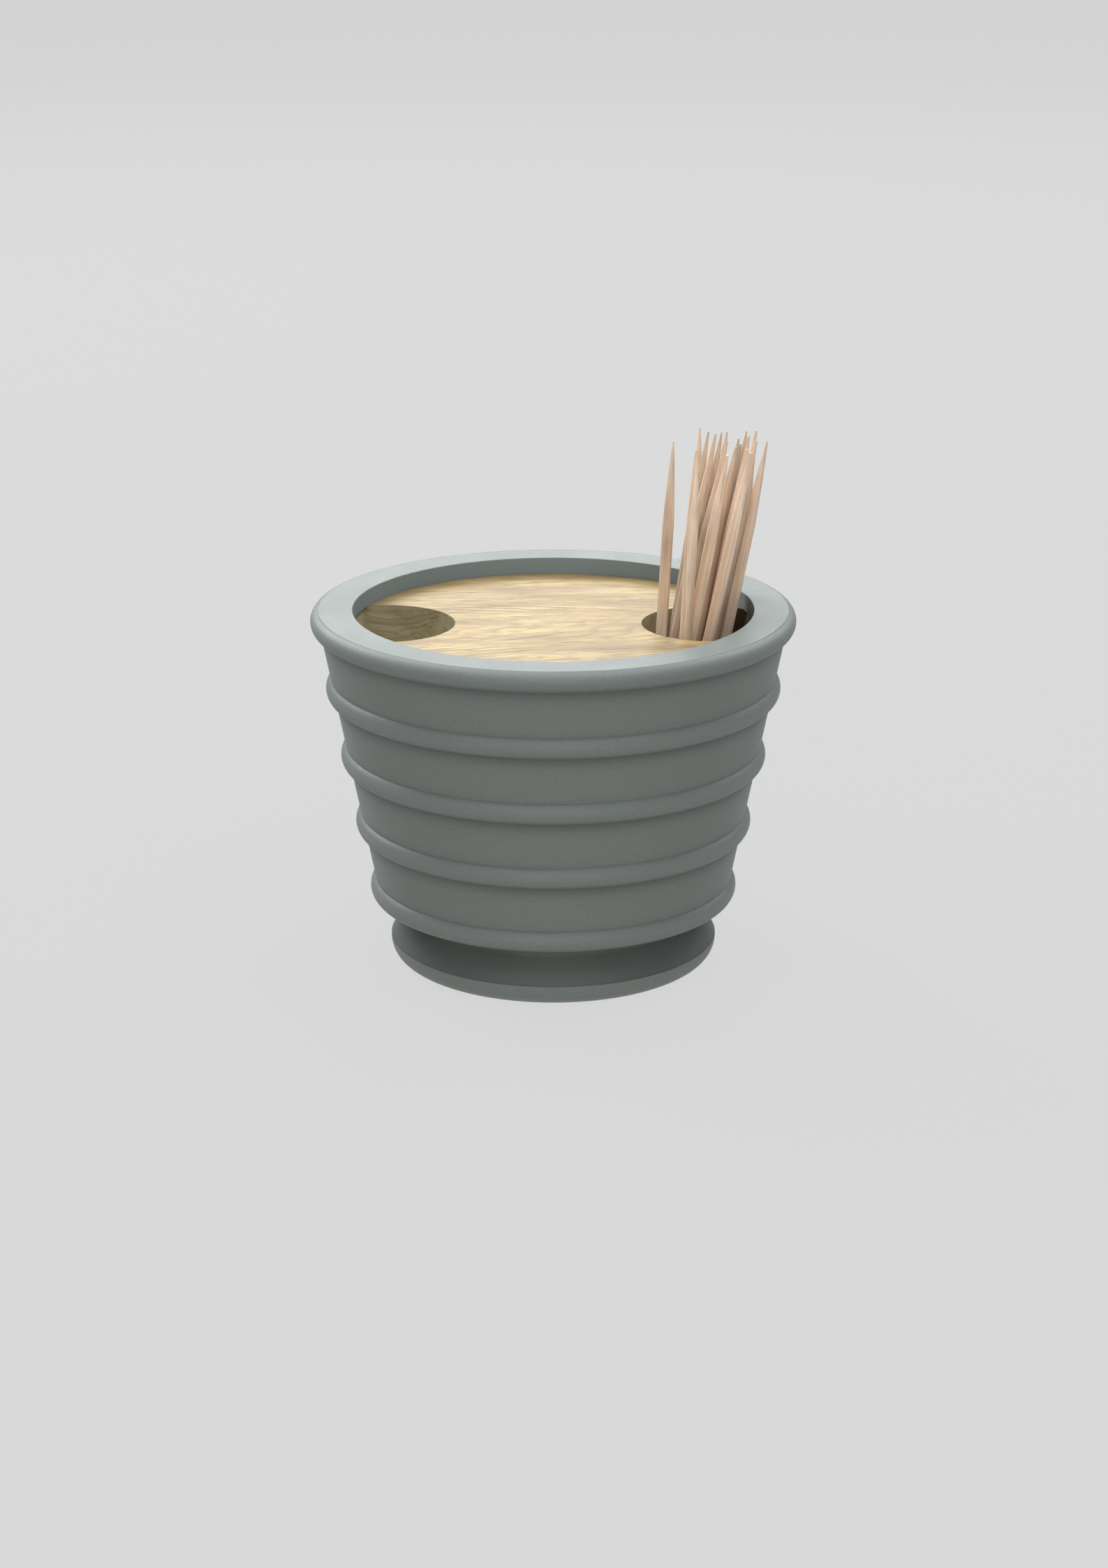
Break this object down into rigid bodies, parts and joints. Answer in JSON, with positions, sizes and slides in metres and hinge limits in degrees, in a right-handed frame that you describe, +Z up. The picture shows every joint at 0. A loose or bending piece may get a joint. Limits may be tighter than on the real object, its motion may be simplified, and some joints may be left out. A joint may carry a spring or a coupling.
{
  "type": "toothpick holder",
  "caption": "Coned pot with raised beads and a rolled lip, holding a wooden block under a flat ring; one well of the block holds round toothpicks, the other is free.",
  "frame": {"origin": "centre of the foot's underside, on the surface that the holder stands on", "axes": "+Z up along the pot's axis; front towards -Y; the toothpicks' well to the right, towards +X"},
  "size_m": [0.088, 0.088, 0.0972],
  "materials": {
    "pot_finish": "matt grey-green, very fine grain",
    "block_wood": "pale oak, planed and lightly oiled, grain from left to right",
    "toothpick_wood": "raw birch, turned and tumbled"
  },
  "bodies": {
    "pot": {"pot_body": "pot_finish"},
    "insert": {"rim_ring": "pot_finish", "wood_insert": "block_wood"},
    "toothpick_01": {"toothpick_01": "toothpick_wood"},
    "toothpick_02": {"toothpick_02": "toothpick_wood"},
    "toothpick_03": {"toothpick_03": "toothpick_wood"},
    "toothpick_04": {"toothpick_04": "toothpick_wood"},
    "toothpick_05": {"toothpick_05": "toothpick_wood"},
    "toothpick_06": {"toothpick_06": "toothpick_wood"},
    "toothpick_07": {"toothpick_07": "toothpick_wood"},
    "toothpick_08": {"toothpick_08": "toothpick_wood"},
    "toothpick_09": {"toothpick_09": "toothpick_wood"},
    "toothpick_10": {"toothpick_10": "toothpick_wood"},
    "toothpick_11": {"toothpick_11": "toothpick_wood"},
    "toothpick_12": {"toothpick_12": "toothpick_wood"},
    "toothpick_13": {"toothpick_13": "toothpick_wood"},
    "toothpick_14": {"toothpick_14": "toothpick_wood"},
    "toothpick_15": {"toothpick_15": "toothpick_wood"},
    "toothpick_16": {"toothpick_16": "toothpick_wood"},
    "toothpick_17": {"toothpick_17": "toothpick_wood"},
    "toothpick_18": {"toothpick_18": "toothpick_wood"},
    "toothpick_19": {"toothpick_19": "toothpick_wood"}
  },
  "joints": [
    {"name": "block_lift", "type": "slide", "parent": "pot", "child": "insert", "axis": [0, 0, 1], "range_m": [0, 0.042]},
    {"name": "toothpick_01_draw", "type": "slide", "parent": "insert", "child": "toothpick_01", "axis": [0.0444, -0.0307, 0.9985], "range_m": [0, 0.038]},
    {"name": "toothpick_02_draw", "type": "slide", "parent": "insert", "child": "toothpick_02", "axis": [0.1827, -0.0222, 0.9829], "range_m": [0, 0.038]},
    {"name": "toothpick_03_draw", "type": "slide", "parent": "insert", "child": "toothpick_03", "axis": [0.1981, -0.0222, 0.9799], "range_m": [0, 0.038]},
    {"name": "toothpick_04_draw", "type": "slide", "parent": "insert", "child": "toothpick_04", "axis": [0.0495, -0.0068, 0.9987], "range_m": [0, 0.038]},
    {"name": "toothpick_05_draw", "type": "slide", "parent": "insert", "child": "toothpick_05", "axis": [0.1861, 0.0034, 0.9825], "range_m": [0, 0.038]},
    {"name": "toothpick_06_draw", "type": "slide", "parent": "insert", "child": "toothpick_06", "axis": [0.1742, -0.0205, 0.9845], "range_m": [0, 0.038]},
    {"name": "toothpick_07_draw", "type": "slide", "parent": "insert", "child": "toothpick_07", "axis": [0.1981, 0.029, 0.9798], "range_m": [0, 0.038]},
    {"name": "toothpick_08_draw", "type": "slide", "parent": "insert", "child": "toothpick_08", "axis": [0.1981, 0.0154, 0.9801], "range_m": [0, 0.038]},
    {"name": "toothpick_09_draw", "type": "slide", "parent": "insert", "child": "toothpick_09", "axis": [0.2049, 0.0222, 0.9785], "range_m": [0, 0.038]},
    {"name": "toothpick_10_draw", "type": "slide", "parent": "insert", "child": "toothpick_10", "axis": [0.1947, 0.0529, 0.9794], "range_m": [0, 0.038]},
    {"name": "toothpick_11_draw", "type": "slide", "parent": "insert", "child": "toothpick_11", "axis": [0.1861, 0.0837, 0.979], "range_m": [0, 0.038]},
    {"name": "toothpick_12_draw", "type": "slide", "parent": "insert", "child": "toothpick_12", "axis": [0.181, 0.0956, 0.9788], "range_m": [0, 0.038]},
    {"name": "toothpick_13_draw", "type": "slide", "parent": "insert", "child": "toothpick_13", "axis": [0.1674, 0.0359, 0.9852], "range_m": [0, 0.038]},
    {"name": "toothpick_14_draw", "type": "slide", "parent": "insert", "child": "toothpick_14", "axis": [0.1554, 0.0683, 0.9855], "range_m": [0, 0.038]},
    {"name": "toothpick_15_draw", "type": "slide", "parent": "insert", "child": "toothpick_15", "axis": [0.1554, 0.0734, 0.9851], "range_m": [0, 0.038]},
    {"name": "toothpick_16_draw", "type": "slide", "parent": "insert", "child": "toothpick_16", "axis": [0.1554, 0.0956, 0.9832], "range_m": [0, 0.038]},
    {"name": "toothpick_17_draw", "type": "slide", "parent": "insert", "child": "toothpick_17", "axis": [0.1639, 0.0888, 0.9825], "range_m": [0, 0.038]},
    {"name": "toothpick_18_draw", "type": "slide", "parent": "insert", "child": "toothpick_18", "axis": [0.1622, 0.0922, 0.9824], "range_m": [0, 0.038]},
    {"name": "toothpick_19_draw", "type": "slide", "parent": "insert", "child": "toothpick_19", "axis": [0.029, 0.0649, 0.9975], "range_m": [0, 0.038]}
  ]
}
